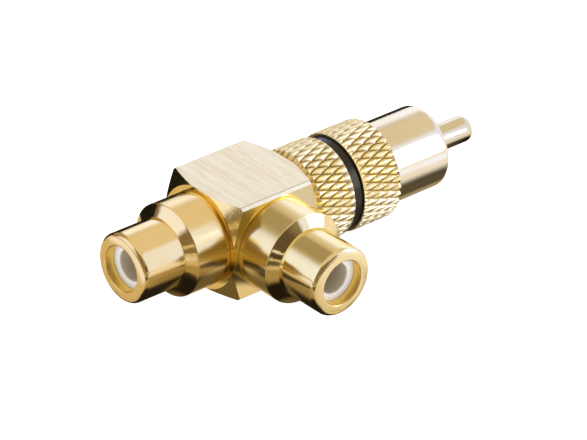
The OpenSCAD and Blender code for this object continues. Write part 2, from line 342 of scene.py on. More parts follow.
white_table, f = new_finish("white_table")
matt = f.node("BsdfDiffuse", {}, {"Color": TABLE_PAINT})
f.show(f.node("AddShader", {}, {0: matt, 1: f.glow(rgb(1, 1, 1), TABLE_GLOW)}))
stage_piece("table_seen", disc(SEEN_Z), white_table, ("camera", "diffuse"))
print(f"white table, {2 * TABLE_R:.0f} m across")

# %% [markdown]
# Only reflections see the second disc. It glows with painted light and painted shadow:
# metal that looks out at a shallow angle sees the painted lit table beyond the adapter, and
# metal that looks steeply down sees the adapter's painted shadow. So there are two sets of
# tones. Each is a plain tone with soft patches of painted light and shade over it, and each
# patch lies along a line on the table, in mm. The names say what it stands for.

# %% Tones of the table in the gold
TABLE_RIGHT, TABLE_LEFT = rgb(0.98, 0.92, 1.28), rgb(0.66, 0.53, 0.43)
LIT_FROM, LIT_FULL, LIT_LEAN = -4, 22, 0.3
STEEP = rgb(0.014, 0.01, 0.009)
JACK_LIGHT = rgb(0.93, 0.93, 1.50)
JACK_SHADE = rgb(0.05, 0.038, 0.03)
SHALLOW_PATCHES = [
    # name, from x, y, to x, y, full within, gone at, colour
    ("light before the inline mouth", (-37, 0), (-45, 40), 7, 13, JACK_LIGHT),
    ("light far before the inline mouth", (-60, 20), (-200, 80), 16, 24, JACK_LIGHT),
    ("light far to the right", (48, -40), (78, -110), 15, 23, rgb(1.05, 1.12, 2.0)),
    ("dark far to the front left", (-100, -45), (-100, -5), 40, 49, FRONT_DARK),
    ("dark far in front", (-80, -110), (-15, -110), 53, 61, rgb(0.08, 0.057, 0.04)),
    ("shade beside the plug", (15, 0), (27, 0), 6.0, 13.0, rgb(0.16, 0.13, 0.12)),
    ("half shade beside the jacks", (-17, -8), (-8, -17), 5, 9, rgb(0.40, 0.30, 0.19)),
    ("shade in the inner corner", (-9, -7), (-7, -9), 2, 5, rgb(0.30, 0.22, 0.13)),
    ("dark to the front left", (-32, -20), (-18, -34), 6, 10, rgb(0.12, 0.095, 0.07)),
    ("shade below the inline jack", (-14.5, 0), (-10.5, 0), 1.8, 3.2, JACK_SHADE),
    ("shade beside the inline jack", (-17, -4.3), (-11, -4.3), 1.2, 2.4, JACK_SHADE),
    ("shade below the side jack", (0, -16), (0, -8), 2.5, 4.0, JACK_SHADE),
    ("light at the block", (-3.5, -7), (-3.5, -7), 1.5, 3.0, rgb(0.80, 0.65, 0.62)),
]
STEEP_PATCHES = [
    ("shade round the block", (-8.3, -1.5), (-1.5, -8.3), 2.6, 3.6, rgb(0.14, 0.105, 0.065)),
    ("light below the inline mouth", (-20, 1), (-20, 1), 2.0, 3.2, rgb(0.60, 0.48, 0.40)),
    ("light below the side mouth", (1.5, -20), (1.5, -20), 2.0, 3.2, rgb(0.80, 0.70, 0.75)),
    ("shade beside the plug", (15, 0), (28, 0), 7.0, 10.0, rgb(0.10, 0.081, 0.069)),
    ("light under the plug", (20, 0), (30, 0), 3.4, 4.4, rgb(0.38, 0.31, 0.28)),
]
print(len(SHALLOW_PATCHES), "shallow patches,", len(STEEP_PATCHES), "steep ones")

# %% [markdown]
# The angle at which the table is looked at comes from Layer Weight: its Facing is 0 when
# looked straight down on and 1 along the table. The change from steep to shallow draws the
# edge of the dark bands on the metal. It is sharp below the jacks and wider beside the plug.

# %% The table that the gold sees
EDGE_AT, EDGE_WIDTH = 0.22, 0.14
PLUG_EDGE_ON, PLUG_EDGE_WIDER = 0.06, 0.18
PLUG_FROM, PLUG_FULL = 4, 14

mirrored_table, f = new_finish("table_in_the_gold")
spot = f.node("SeparateXYZ", {}, {0: f.here()})
x, y = spot["X"] / MM, spot["Y"] / MM


def patch(start, end, within, gone_at):
    """1 near the line from start to end on the table, 0 away from it."""
    (x0, y0), (x1, y1) = start, end
    length = math.hypot(x1 - x0, y1 - y0)
    ux, uy = ((x1 - x0) / length, (y1 - y0) / length) if length else (1, 0)
    along = (x - (x0 + x1) / 2) * ux + (y - (y0 + y1) / 2) * uy
    past = (abs(along) - length / 2).math("MAXIMUM", 0)
    beside = (x - x0) * uy - (y - y0) * ux
    away = (past * past + beside * beside).math("SQRT")
    return 1 - f.between(within, gone_at, away)


def lay_patches(tone, patches):
    for _, start, end, within, gone_at, colour in patches:
        tone = f.blend(patch(start, end, within, gone_at), tone, colour)
    return tone


lit = f.between(LIT_FROM, LIT_FULL, x - y * LIT_LEAN)
shallow = lay_patches(f.blend(lit, TABLE_LEFT, TABLE_RIGHT), SHALLOW_PATCHES)
steep = lay_patches(STEEP, STEEP_PATCHES)
facing = f.node("LayerWeight", {}, {"Blend": 0.5})["Facing"]
plug = f.between(PLUG_FROM, PLUG_FULL, x)
rise = (facing - EDGE_AT - PLUG_EDGE_ON * plug) / (EDGE_WIDTH + PLUG_EDGE_WIDER * plug)
f.show(f.glow(f.blend(f.between(0, 1, rise), steep, shallow)))
stage_piece("table_in_gold", disc(MIRRORED_Z), mirrored_table, ("glossy",))
print("the mirrored table has", len(mirrored_table.node_tree.nodes), "nodes")

# %% [markdown]
# Two cards stand close to the adapter, and only reflections see them. A long black one
# behind it draws the thin dark line along the top of the plug. A lamp card to the right of
# the side jack, turned towards the plug, gives the barrel its broad white gloss.

# %% Edge card and lamp card
STRIP_X0, STRIP_X1, STRIP_Y, STRIP_H = -24, 48, 25, 13
LAMP_AT, LAMP_COMPASS, LAMP_HEIGHT, LAMP_AWAY = (12.8, -3.0, 9.0), 41, 18, 60
LAMP_W, LAMP_H = 30, 36
BLACK_CARD, LAMP_LIGHT = rgb(0.01, 0.01, 0.01), rgb(3.3, 3.4, 6.0)


def flat_card(width, length):
    bm = bmesh.new()
    bmesh.ops.create_grid(bm, x_segments=1, y_segments=1, size=0.5)
    bmesh.ops.scale(bm, vec=(width * MM, length * MM, 1), verts=bm.verts)
    return bm


black_card, f = new_finish("black_card")
f.show(f.node("BsdfDiffuse", {}, {"Color": BLACK_CARD}))
bm = flat_card(STRIP_X1 - STRIP_X0, STRIP_H)
bmesh.ops.rotate(bm, matrix=Matrix.Rotation(math.pi / 2, 3, "X"), verts=bm.verts)
middle = Vector(((STRIP_X0 + STRIP_X1) / 2, STRIP_Y, STRIP_H / 2)) * MM
bmesh.ops.translate(bm, verts=bm.verts, vec=middle)
stage_piece("edge_card", bm, black_card, ("glossy",))

lamp_card, f = new_finish("lamp_card")
f.show(f.glow(LAMP_LIGHT))
bm = flat_card(LAMP_W, LAMP_H)
bmesh.ops.translate(bm, verts=bm.verts, vec=(0, 0, -LAMP_AWAY * MM))
stand = Matrix.Rotation(math.radians(LAMP_COMPASS), 4, "Z") @ Matrix.Rotation(
    -math.radians(90 + LAMP_HEIGHT), 4, "X"
)
stand = Matrix.Translation(Vector(LAMP_AT) * MM) @ stand
bmesh.ops.transform(bm, matrix=stand, verts=bm.verts)
lamp_centre = sum((v.co for v in bm.verts), Vector()) / len(bm.verts)
stage_piece("lamp_card", bm, lamp_card, ("glossy",))
print("edge card", STRIP_Y, "mm behind, lamp at", [round(v / MM, 1) for v in lamp_centre])

# %% [markdown]
# ## Gold, turned on a lathe
#
# Brass is turned, polished and plated. All the gold shares one shader: a metal whose edge
# tint keeps it warm at flat angles, where bare metal would turn white. What differs from
# one surface to the next is its colour, its gloss and its bump.
#
# A lathe leaves marks round the axis. To draw them, each point needs to know how far along
# its own axis and how far out it lies, which a Mapping node with the piece's own matrix
# gives.

# %% One gold, and places on a turned piece
EDGE_TINT = rgb(1.0, 0.94, 0.70)


def show_gold(f, colour, rough, bump):
    f.show(f.node(
        "BsdfPrincipled",
        {},
        {
            "Base Color": colour,
            "Roughness": rough,
            "Metallic": 1.0,
            "Specular Tint": EDGE_TINT,
            "Normal": bump,
        },
    ))


def axis_coordinates(f, place):
    """How far along its own axis and how far out a point of a turned piece lies, in mm."""
    turned_to = f.node(
        "Mapping",
        {"vector_type": "TEXTURE"},
        {
            "Vector": f.here(),
            "Location": place.translation,
            "Rotation": place.to_euler(),
        },
    )
    at = f.node("SeparateXYZ", {}, {0: turned_to})
    out = (at["X"] * at["X"] + at["Y"] * at["Y"]).math("SQRT")
    return at["Z"] / MM, out / MM


print("gold is ready")

# %% [markdown]
# The fine rings are noise along one line: the distance along the axis plus the distance
# from it, which runs over walls, cones and faces alike. A slow cloud shifts tint and gloss
# a little, as plating never settles evenly.
#
# The jacks show three things more. The tool chattered on their cone, the base behind it
# is hazier than the tube, and inside the mouth the gold is dull and deep yellow, with a
# line of painted shade where the shell meets the white bush.

# %% Turned gold
RING_WALK = 1.03  # on a 45 degree cone, 1 would give no rings at all
FINE_RINGS, BROAD_RINGS, CLOUDS, MARKS = 9.0, 1.3, 210.0, 1900.0
CLOUD_FADE, CLOUD_GLOSS, RING_GLOSS = (0.3, 0.75), 0.08, 0.04
RIPPLE, RIPPLE_DEPTH, FINE_SHARE, BROAD_SHARE = 0.02, 0.1, 0.4, 0.6
CONE_FADE, CONE_SHINE = 0.1, 0.05
MOUTH_FADE, MOUTH_HAZE, GAP_SHADE_FADE = (0.01, 0.06), 0.22, (0.03, 0.16)
MOUTH_TINT, GAP_SHADE_TINT = rgb(1.0, 0.70, 0.17), rgb(0.22, 0.13, 0.04)
MOUTH_R, MOUTH_L, NO_MOUTH = 2.725, 1.3, -1
jack_low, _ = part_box("inline_jack_shell")
JACK_L = (block_low.x - jack_low.x) / MM
MOUTH_FLOOR = JACK_L - MOUTH_L


def turned_gold(
    name, place, tint, deep_tint, gloss, cone=(0, 0), chatter=0.0, haze=0.0, mouth_r=NO_MOUTH
):
    """The tool chattered between the cone's two heights, and below them lies a haze."""
    material, f = new_finish(name)
    where = f.here()
    along, out = axis_coordinates(f, place)
    walk = along + out * RING_WALK
    fine = f.noise(walk, FINE_RINGS, 3.0, noise_dimensions="1D")
    broad = f.noise(walk, BROAD_RINGS, 1.0, noise_dimensions="1D")
    cloud = f.noise(where, CLOUDS, 3.0)
    colour = f.blend(f.between(*CLOUD_FADE, cloud), tint, deep_tint)
    rough = gloss + (cloud - 0.5) * CLOUD_GLOSS + (fine - 0.5) * RING_GLOSS

    above_base = f.between(cone[0], cone[0] + CONE_FADE, along)
    on_cone = above_base * (1 - f.between(cone[1] - CONE_FADE, cone[1], along))
    rough = rough + (1 - above_base) * haze - on_cone * CONE_SHINE
    marks = f.noise(where, MARKS, 3.0) * on_cone * chatter

    in_mouth = 1 - f.between(mouth_r + MOUTH_FADE[0], mouth_r + MOUTH_FADE[1], out)
    # painted shade: a dark line at the floor of the mouth, where the shell meets the white
    # bush
    above_gap = f.between(MOUTH_FLOOR + GAP_SHADE_FADE[0], MOUTH_FLOOR + GAP_SHADE_FADE[1], along)
    in_gap_shade = in_mouth * (1 - above_gap)
    colour = f.blend(in_gap_shade, f.blend(in_mouth, colour, MOUTH_TINT), GAP_SHADE_TINT)
    rough = rough + in_mouth * MOUTH_HAZE
    rings = fine * FINE_SHARE + broad * BROAD_SHARE
    show_gold(f, colour, rough, f.bump(RIPPLE, RIPPLE_DEPTH, rings + marks))
    return material


print(f"jacks reach {JACK_L:.2f} mm out of the block, mouths end at {MOUTH_FLOOR:.2f} mm")

# %% [markdown]
# In the picture the inline jack is the deepest yellow, the side jack is a little greener,
# and the plug and its pin are the palest, so each has its own pair of tints.

# %% The turned golds
BASE_L, CONE_L = 4.6, 0.8
TURNED_GLOSS, PIN_GLOSS = 0.12, 0.10
JACK_FORM = {
    "cone": (BASE_L, BASE_L + CONE_L), "chatter": 3.5, "haze": 0.05, "mouth_r": MOUTH_R,
}
# painted light: both jacks are one part in one gold, so the small difference between their
# tints stands for the different light that falls on each
gold_inline = turned_gold(
    "turned_gold_inline_jack", ON_INLINE,
    rgb(0.98, 0.78, 0.30), rgb(0.95, 0.72, 0.25), TURNED_GLOSS, **JACK_FORM,
)
gold_side = turned_gold(
    "turned_gold_side_jack", ON_SIDE,
    rgb(0.95, 0.80, 0.32), rgb(0.92, 0.74, 0.27), TURNED_GLOSS, **JACK_FORM,
)
gold_plug = turned_gold(
    "turned_gold_plug", ON_PLUG,
    rgb(0.89, 0.80, 0.42), rgb(0.87, 0.76, 0.37), TURNED_GLOSS,
)
gold_pin = turned_gold(
    "turned_gold_pin", ON_PLUG,
    rgb(0.82, 0.72, 0.37), rgb(0.77, 0.66, 0.31), PIN_GLOSS,
)
print("four turned golds")

# %% [markdown]
# The knurl is rolled, not cut, so its diamonds have a grained skin. Its grooves get painted
# shade: the nearer a point lies to the axis, the deeper its colour. The smooth bevel where
# the grip starts gets no painted shade, only a tint of its own.

# %% Rolled gold
GRIP_R, KNURL_DEPTH = 6.0, 0.28
NECK_L, START_BEVEL = 0.65, 0.45
GROOVE_SHADE_TINT, CREST_TINT = rgb(0.42, 0.31, 0.12), rgb(1.0, 0.87, 0.38)
BEVEL_TINT, BEVEL_FADE = rgb(0.95, 0.76, 0.26), 0.05
ROLLED_GLOSS, ROLLED_CLOUD_GLOSS, ROLLED_CLOUDS = 0.38, 0.12, 260.0
GRAINS, GRAIN, GRAIN_DEPTH = 3200.0, 0.25, 0.04
UNSHADED_FROM, FRAYED_BY = 0.3, 0.12

rolled_gold, f = new_finish("rolled_gold_knurl")
along, out = axis_coordinates(f, ON_PLUG)
where = f.here()
grain = f.noise(where, GRAINS, 3.0)
cloud = f.noise(where, ROLLED_CLOUDS, 2.0)
frayed = out + (grain - 0.5) * FRAYED_BY
# painted shade in the knurl's grooves, deepest near the axis
crest = f.between(GRIP_R - KNURL_DEPTH, GRIP_R - UNSHADED_FROM * KNURL_DEPTH, frayed)
colour = f.blend(crest, GROOVE_SHADE_TINT, CREST_TINT)
bevel_top = NECK_L + START_BEVEL
past_bevel = f.between(bevel_top - BEVEL_FADE, bevel_top + BEVEL_FADE, along)
colour = f.blend(past_bevel, BEVEL_TINT, colour)
rough = ROLLED_GLOSS + (cloud - 0.5) * ROLLED_CLOUD_GLOSS
show_gold(f, colour, rough, f.bump(GRAIN, GRAIN_DEPTH, grain))
print("rolled gold for the knurl")

# %% [markdown]
# ## Gold, brushed on a belt
#
# The block's flats are brushed across the bar before plating, so each has fine straight
# scratches square to the main axis. Noise stretched across the bar gives them: it changes
# fast along X and slowly along Y and Z. The top was brushed coarsely, and a thin line of
# painted shade lies where the flat ends and the bevel starts. The sides are finer, and the
# turned ends have the chatter marks of the lathe all over.

# %% Brushed gold
BAR_BEVEL = 0.35
BRUSH_STRETCH, SCRATCHES, BANDS = (1000, 40, 40), 12.0, 1.5
BRUSH_DEPTH, BAND_DEPTH, BRUSH_GLOSS = 0.02, 0.5, 0.2
WORN_FADE, BAND_SHARE, SCRATCH_SHARE = (0.40, 0.62), 0.4, 0.6
EDGE_SHADE_TINT, EDGE_SHADE_FADE = rgb(0.42, 0.33, 0.13), (0.02, 0.09)


def brushed(name, tint, deep_tint, gloss, strength, edge_shade=0.0):
    material, f = new_finish(name)
    where = f.here()
    stretched = f.node("Mapping", {}, {"Vector": where, "Scale": BRUSH_STRETCH})
    scratches = f.noise(stretched, SCRATCHES, 5.0)
    bands = f.noise(stretched, BANDS, 2.0)
    worn = f.between(*WORN_FADE, bands * BAND_SHARE + scratches * SCRATCH_SHARE)
    across = abs(f.node("SeparateXYZ", {}, {0: where})["Y"]) / MM
    # painted shade: a thin dark line where the top's flat meets the bevel
    line = 1 - f.between(*EDGE_SHADE_FADE, abs(across - (BAR_W / 2 - BAR_BEVEL)))
    colour = f.blend(line * edge_shade, f.blend(worn, tint, deep_tint), EDGE_SHADE_TINT)
    groove = f.bump(strength, BRUSH_DEPTH, scratches + bands * BAND_DEPTH)
    show_gold(f, colour, gloss + (scratches - 0.5) * BRUSH_GLOSS, groove)
    return material


# painted light: the block is one gold, so the top's paler tints and the ends' deeper ones
# stand for the light that falls on each face
brushed_top = brushed(
    "brushed_gold_top", rgb(0.975, 0.89, 0.455), rgb(0.87, 0.76, 0.36), 0.27, 0.18,
    edge_shade=0.75,
)
brushed_side = brushed(
    "brushed_gold_sides", rgb(0.98, 0.83, 0.35), rgb(0.93, 0.77, 0.30), 0.15, 0.03
)
gold_block_ends = turned_gold(
    "turned_gold_block_ends", ON_INLINE, rgb(1.0, 0.80, 0.27), rgb(1.0, 0.73, 0.19), 0.17,
    cone=(-99, 99), chatter=8.0,
)
print("brushed gold for the block's flats")

# %% [markdown]
# ## Plastics
#
# The insulators are moulded in white plastic with a soft shine, and the ring is a black
# moulding. Both have the faint unevenness of a moulded skin. The skin's own tint takes the
# blue out of what it mirrors, so that white and black stay neutral. The walls of the pin
# holes are darker and warmer, because only light from the gold mouth gets there.

# %% White and black plastic
WEB_HOLE_R, HOLE_FADE = 1.85, 0.15
HOLE_SHADE_TINT = rgb(0.62, 0.56, 0.45)
SKIN, SKIN_GLOSS, DIMPLES, DIMPLE_DEPTH = 900.0, 0.12, 0.05, 0.05
FLOW, FLOW_FADE = 160.0, (0.3, 0.7)


def moulded(name, tint, deep_tint, gloss, surface, jack=None):
    """A plastic. With a jack's matrix, the walls of that jack's pin hole get painted shade.
    """
    material, f = new_finish(name)
    where = f.here()
    skin = f.noise(where, SKIN, 3.0)
    flow = f.noise(where, FLOW, 2.0)
    colour = f.blend(f.between(*FLOW_FADE, flow), tint, deep_tint)
    if jack is not None:
        _, out = axis_coordinates(f, jack)
        # painted shade on the walls of the pin hole, darker and warmer than the plastic
        past_hole = f.between(WEB_HOLE_R, WEB_HOLE_R + HOLE_FADE, out)
        colour = f.blend(past_hole, HOLE_SHADE_TINT, colour)
    rough = gloss + (skin - 0.5) * SKIN_GLOSS
    dimple = f.bump(DIMPLES, DIMPLE_DEPTH, skin)
    inputs = {"Base Color": colour, "Roughness": rough, "Normal": dimple, **surface}
    f.show(f.node("BsdfPrincipled", {}, inputs))
    return material


WHITE = (
    rgb(0.93, 0.92, 0.90), rgb(0.87, 0.86, 0.84), 0.30,
    {"IOR": 1.5, "Specular Tint": rgb(1.0, 0.9, 0.42)},
)
BLACK = (
    rgb(0.014, 0.012, 0.006), rgb(0.020, 0.017, 0.009), 0.20,
    {"IOR": 1.36, "Specular Tint": rgb(1.0, 0.88, 0.40)},
)
white_plastic = moulded("white_plastic", *WHITE)
white_inline = moulded("white_plastic_inline_jack", *WHITE, ON_INLINE)
white_side = moulded("white_plastic_side_jack", *WHITE, ON_SIDE)
black_plastic = moulded("black_plastic", *BLACK)
print("white and black plastic")

# %% [markdown]
# ## A lathe made of bmesh
#
# A turned piece is an outline spun round an axis. The outline has only the corners that the
# drawing gives: radius, height and how far the corner is rounded. A vertex bevel rounds the
# corners while the outline is still a wire, and a point on each side of a rounding holds
# the straight stretches flat, so that the shading doesn't lean over a long wall.

# %% Turning
TURN_STEPS, ROUND_STEPS = 192, 4
HOLD_AT, HOLD_ROOM = 1.7, 2.4
MERGE = 0.0005 * MM


def hold(corner, distance):
    """Puts a point near the corner on each of its edges that has room for it."""
    for edge in list(corner.link_edges):
        length = edge.calc_length()
        if length > HOLD_ROOM * distance:
            bmesh.utils.edge_split(edge, corner, distance / length)


def full_spin(bm, steps):
    bmesh.ops.spin(
        bm, geom=bm.verts[:] + bm.edges[:], cent=(0, 0, 0), axis=(0, 0, 1),
        dvec=(0, 0, 0), angle=2 * math.pi, steps=steps, use_merge=True,
    )


def turn(outline, steps=TURN_STEPS, closed=True):
    """A spun solid along +Z. Closed outlines are rings, open ones end on the axis."""
    bm = bmesh.new()
    corners = [bm.verts.new((r * MM, 0, z * MM)) for r, z, _ in outline]
    chain = corners + corners[:1] if closed else corners
    for first, second in zip(chain, chain[1:]):
        bm.edges.new((first, second))
    for corner, (_, _, rounding) in zip(corners, outline):
        if rounding:
            hold(corner, HOLD_AT * rounding * MM)
            bmesh.ops.bevel(
                bm, geom=[corner], offset=rounding * MM, affect="VERTICES",
                segments=ROUND_STEPS, profile=0.5, material=-1,
            )
    full_spin(bm, steps)
    bmesh.ops.remove_doubles(bm, verts=bm.verts, dist=MERGE)
    bmesh.ops.recalc_face_normals(bm, faces=bm.faces)
    return bm


print(f"the lathe turns in {TURN_STEPS} steps")

# %% [markdown]
# A finished piece keeps its place in its mesh, so its object stays at the origin. It shades
# smooth except over real corners, takes its finishes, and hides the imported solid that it
# stands for.

# %% Finished pieces
CREASE_ANGLE = math.radians(33)


def finish_piece(name, bm, place, materials, nodes):
    """Carries a bmesh to its place and makes it a piece that stands for CAD nodes."""
    bmesh.ops.transform(bm, matrix=place, verts=bm.verts)
    mesh = bpy.data.meshes.new(name)
    open_edges = sum(not e.is_manifold for e in bm.edges)
    bm.to_mesh(mesh)
    bm.free()
    mesh.shade_smooth()
    mesh.set_sharp_from_angle(angle=CREASE_ANGLE)
    for material in materials:
        mesh.materials.append(material)
    piece = bpy.data.objects.new(name, mesh)
    bpy.context.scene.collection.objects.link(piece)
    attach(piece, "root")
    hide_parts(*nodes)
    print(f"{name}: {len(mesh.polygons)} faces, {open_edges} open edges")
    return piece


print(f"corners over {math.degrees(CREASE_ANGLE):.0f} degrees stay sharp")

# %% [markdown]
# ## Jack shells
#
# Each jack is one turned piece: a spigot inside the block, a thick base, a short cone and
# the tube that a plug slides over. Its rim rises in a soft cone to the mouth, and all its
# edges are broken. Both jacks come from the same outline.

# %% Two jack shells
SPIGOT_R, SPIGOT_L = 3.98, 1.9
BASE_R, TUBE_R = 5.5, 4.15
POCKET_R, LIP_T, LIP_IN = 3.15, 0.3, 0.35
RIM_W, RIM_DROP = 0.9, 0.25
BROKEN, BASE_ROUND, CONE_FOOT = 0.05, 0.26, 0.03
RIM_ROUND, RIM_TOP_ROUND, MOUTH_ROUND, FLOOR_ROUND = 0.36, 0.38, 0.12, 0.1

jack_outline = [
    (POCKET_R - LIP_IN, -SPIGOT_L, 0),
    (SPIGOT_R, -SPIGOT_L, BROKEN),
    (SPIGOT_R, 0, 0),
    (BASE_R, 0, BASE_ROUND),
    (BASE_R, BASE_L, BROKEN),
    (TUBE_R, BASE_L + CONE_L, CONE_FOOT),
    (TUBE_R, JACK_L - RIM_DROP, RIM_ROUND),
    (TUBE_R - RIM_W, JACK_L, RIM_TOP_ROUND),
    (MOUTH_R, JACK_L, MOUTH_ROUND),
    (MOUTH_R, MOUTH_FLOOR, FLOOR_ROUND),
    (POCKET_R, MOUTH_FLOOR, 0),
    (POCKET_R, LIP_T - SPIGOT_L, 0),
    (POCKET_R - LIP_IN, LIP_T - SPIGOT_L, 0),
]
golds = (("inline", ON_INLINE, gold_inline), ("side", ON_SIDE, gold_side))
for jack, place, gold in golds:
    finish_piece(
        jack + "_jack_turned", turn(jack_outline), place, [gold],
        [jack + "_jack_shell"],
    )

# %% [markdown]
# ## Insulators
#
# A white bush fills each mouth behind the lip. The rounded hole in its web guides the pin
# of a plug into the contact behind it.

# %% Jack insulators
PRESS_GAP = 0.02
WEB_T, WEB_HOLE_ROUND = 2.6, 0.25
BUSH_R = POCKET_R - PRESS_GAP
CONTACT_R, COLLAR_R = 2.27, 2.67
bush_outline = [
    (WEB_HOLE_R, MOUTH_FLOOR, WEB_HOLE_ROUND),
    (BUSH_R, MOUTH_FLOOR, 0),
    (BUSH_R, LIP_T - SPIGOT_L, 0),
    (COLLAR_R, LIP_T - SPIGOT_L, 0),
    (COLLAR_R, 0, 0),
    (CONTACT_R, 0, 0),
    (CONTACT_R, MOUTH_FLOOR - WEB_T, 0),
    (WEB_HOLE_R, MOUTH_FLOOR - WEB_T, BROKEN),
]
whites = (("inline", ON_INLINE, white_inline), ("side", ON_SIDE, white_side))
for jack, place, white in whites:
    finish_piece(
        jack + "_bush", turn(bush_outline), place, [white],
        [jack + "_insulator"],
    )

# %% [markdown]
# ## The block
#
# The block is sawn from square bar. Its long edges are bevelled, and both ends were faced
# on a lathe, which leaves a round land and a shallow cone that meets the flats in curves.
# It is made the same way here: a bevelled bar is cut to a turned shape, then bored. Each
# cut is a boolean modifier with a turned tool, and what it shows becomes the mesh at once.

# %% Cutting with a tool
def as_object(name, bm):
    mesh = bpy.data.meshes.new(name)
    bm.to_mesh(mesh)
    bm.free()
    piece = bpy.data.objects.new(name, mesh)
    bpy.context.scene.collection.objects.link(piece)
    return piece


def settle(piece):
    """Makes what a piece's modifiers show its own mesh."""
    ready = piece.evaluated_get(bpy.context.evaluated_depsgraph_get())
    piece.data = bpy.data.meshes.new_from_object(ready)
    piece.modifiers.clear()


def cut(piece, tool, operation):
    """Cuts a piece with a tool, as a boolean, and throws the tool away."""
    modifier = piece.modifiers.new("cut", "BOOLEAN")
    modifier.operation, modifier.object, modifier.solver = operation, tool, "EXACT"
    settle(piece)
    print(f"{tool.name} cut: {len(piece.data.polygons)} faces")
    bpy.data.objects.remove(tool)


print("cutting is ready")

# %% [markdown]
# The bar is a cube, stretched to the block's length. Only its four long edges are bevelled,
# because the lathe shapes the rest. It lies along -Z, below the plug's face.

# %% The bevelled bar
bm = bmesh.new()
bmesh.ops.create_cube(bm, size=1.0)
bmesh.ops.scale(bm, vec=(BAR_W * MM, BAR_W * MM, BLOCK_L * MM), verts=bm.verts)
long_edges = [e for e in bm.edges if e.verts[0].co.z * e.verts[1].co.z < 0]
bmesh.ops.bevel(
    bm, geom=long_edges, offset=BAR_BEVEL * MM, affect="EDGES",
    segments=1, profile=0.5, material=-1,
)
bmesh.ops.translate(bm, verts=bm.verts, vec=(0, 0, -BLOCK_L / 2 * MM))
block = as_object("block_turned_and_brushed", bm)
print(len(long_edges), "long edges bevelled by", BAR_BEVEL, "mm")

# %% [markdown]
# What stays after facing is a drum with a cone at both ends, wide enough to leave the bar's
# flats alone. The main bore runs through the block with a seat for a spigot at each end.
# The side bore has the same seat and stops at the middle.

# %% Facing and boring
END_LAND, END_SLOPE = 0.15, math.radians(28)
END_R = BAR_W / 2 + END_LAND
DRUM_R = BAR_W
END_DROP = (DRUM_R - END_R) * math.tan(END_SLOPE)
SEAT_R, SEAT_DEPTH, MAIN_BORE_R, SIDE_BORE_R = 4.0, 2.0, 3.5, 3.3
FACING_STEPS, BORE_STEPS, OVER = 288, 96, 1

facing_outline = [
    (0, 0, 0), (END_R, 0, 0), (DRUM_R, -END_DROP, 0),
    (DRUM_R, END_DROP - BLOCK_L, 0), (END_R, -BLOCK_L, 0), (0, -BLOCK_L, 0),
]
seat = [(0, OVER, 0), (SEAT_R, OVER, 0), (SEAT_R, -SEAT_DEPTH, 0)]
main_bore_outline = seat + [
    (MAIN_BORE_R, -SEAT_DEPTH, 0), (MAIN_BORE_R, SEAT_DEPTH - BLOCK_L, 0),
    (SEAT_R, SEAT_DEPTH - BLOCK_L, 0), (SEAT_R, -BLOCK_L - OVER, 0), (0, -BLOCK_L - OVER, 0),
]
side_bore_outline = seat + [
    (SIDE_BORE_R, -SEAT_DEPTH, 0), (SIDE_BORE_R, -BAR_W / 2, 0), (0, -BAR_W / 2, 0),
]
facing = as_object("facing", turn(facing_outline, FACING_STEPS, closed=False))
cut(block, facing, "INTERSECT")
main_bore = as_object("main_bore", turn(main_bore_outline, BORE_STEPS, closed=False))
cut(block, main_bore, "DIFFERENCE")
bm = turn(side_bore_outline, BORE_STEPS, closed=False)
bmesh.ops.transform(bm, matrix=ON_PLUG.inverted() @ ON_SIDE, verts=bm.verts)
cut(block, as_object("side_bore", bm), "DIFFERENCE")

# %% [markdown]
# Each face then gets its finish. The top, the underside and the bevels share the coarse
# brushing, the sides have the finer one, and the ends and bores are turned. The plug's
# matrix will turn the block's local X into up and down. A bevel modifier breaks all the
# corners at the end.

# %% The block's finishes and edges
FACE_MERGE = 0.001 * MM
FLAT_OUT = 5 * MM
FACES_SIDE, FACES_UP, FACES_END = 0.95, 0.6, 0.1
BRUSHED_TOP, BRUSHED_SIDE, TURNED = 0, 1, 2
EDGE_BREAK_W, EDGE_BREAK_STEPS, EDGE_BREAK_OVER = 0.2 * MM, 3, math.radians(25)


def finish_of(face):
    """Bores lie near the axis, ends face along Z, and a bevel is half up, half sideways."""
    middle = face.calc_center_median()
    if max(abs(middle.x), abs(middle.y)) <= FLAT_OUT:
        return TURNED
    if abs(face.normal.y) > FACES_SIDE:
        return BRUSHED_SIDE
    if abs(face.normal.x) > FACES_UP and abs(face.normal.z) < FACES_END:
        return BRUSHED_TOP
    return TURNED


bm = bmesh.new()
bm.from_mesh(block.data)
bpy.data.objects.remove(block)
bmesh.ops.remove_doubles(bm, verts=bm.verts, dist=FACE_MERGE)
for face in bm.faces:
    face.material_index = finish_of(face)
block = finish_piece(
    "block_brushed", bm, ON_PLUG, [brushed_top, brushed_side, gold_block_ends],
    ["body_block"],
)
soft_edges = block.modifiers.new("broken edges", "BEVEL")
soft_edges.width, soft_edges.segments = EDGE_BREAK_W, EDGE_BREAK_STEPS
soft_edges.limit_method, soft_edges.angle_limit = "ANGLE", EDGE_BREAK_OVER
soft_edges.harden_normals = True

# %% [markdown]
# ## The knurl
#
# Knurling wheels roll two sets of slanting grooves into the grip, and diamonds stay between
# them. A tube of squares is poked, and its old edges are dissolved, which leaves exactly
# that lattice. Each diamond is inset and lifted. Two rounds of subdivision then round its
# crest, while the grooves stay sharp, because their edges are creased.

# %% The lattice of diamonds
GRIP_L, END_BEVEL = 12.3, 0.15
KNURL_COUNT, KNURL_ROWS, KNURL_FLAT = 37, 8, 0.25
CREST_CREASE, VALLEY_CREASE, ROUNDINGS = 0.7, 1.0, 2
VALLEY_R = GRIP_R - KNURL_DEPTH
CELL_L = 2 * (GRIP_L - START_BEVEL - END_BEVEL) / KNURL_ROWS


def set_radius(verts, radius):
    for v in verts:
        v.co.xy = v.co.xy.normalized() * radius


